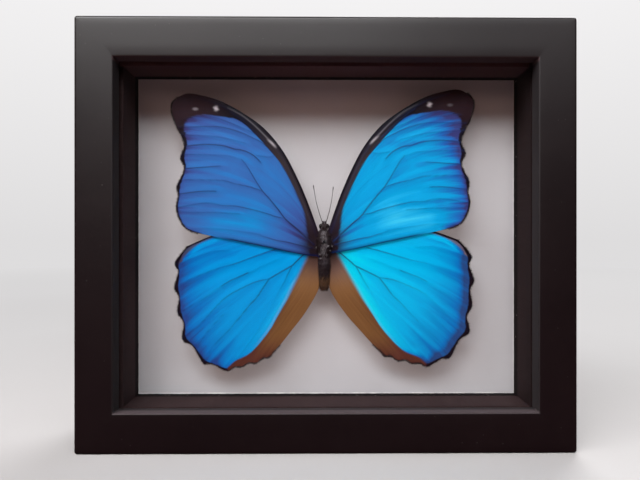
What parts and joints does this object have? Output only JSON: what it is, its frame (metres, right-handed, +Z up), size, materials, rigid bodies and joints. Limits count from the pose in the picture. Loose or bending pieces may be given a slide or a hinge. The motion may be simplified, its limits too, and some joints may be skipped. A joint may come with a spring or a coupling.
{
  "type": "framed butterfly specimen",
  "caption": "Pinned blue butterfly with spread wings in a deep black box frame with a glass front and a pale backing.",
  "frame": {"origin": "on the surface the frame stands on, at the middle of its width and depth", "axes": "+X to the viewer's right along the longer side, +Y from the glass to the back, +Z up; the glass faces -Y"},
  "size_m": [0.184, 0.036, 0.16],
  "materials": {
    "lacquered_wood": "satin black lacquer over fine wood grain",
    "glass": "clear picture glass",
    "spacer_black": "matt black paper-faced board",
    "backing_paper": "matt pale grey-white paper",
    "hardboard": "brown hardboard, smooth side out",
    "zinc_steel": "zinc plated steel",
    "forewing_scales": "iridescent blue scales with black margins and veins",
    "hindwing_scales": "iridescent blue scales with black margins and brown inner edge",
    "chitin": "dark brown-black body with grey hairs",
    "black_enamel": "black enamelled steel"
  },
  "bodies": {
    "root": {"rail_top": "lacquered_wood", "rail_bottom": "lacquered_wood", "rail_left": "lacquered_wood", "rail_right": "lacquered_wood", "glass_pane": "glass", "spacer_top": "spacer_black", "spacer_bottom": "spacer_black", "spacer_left": "spacer_black", "spacer_right": "spacer_black", "backing_card": "backing_paper", "back_board": "hardboard", "framer_point_1": "zinc_steel", "framer_point_2": "zinc_steel", "framer_point_3": "zinc_steel", "framer_point_4": "zinc_steel", "framer_point_5": "zinc_steel", "framer_point_6": "zinc_steel", "framer_point_7": "zinc_steel", "framer_point_8": "zinc_steel", "hanger": "zinc_steel", "hanger_nail_left": "zinc_steel", "hanger_nail_right": "zinc_steel", "forewing_left": "forewing_scales", "forewing_right": "forewing_scales", "hindwing_left": "hindwing_scales", "hindwing_right": "hindwing_scales", "body": "chitin", "antenna_left": "chitin", "antenna_right": "chitin", "insect_pin": "black_enamel"}
  },
  "joints": []
}
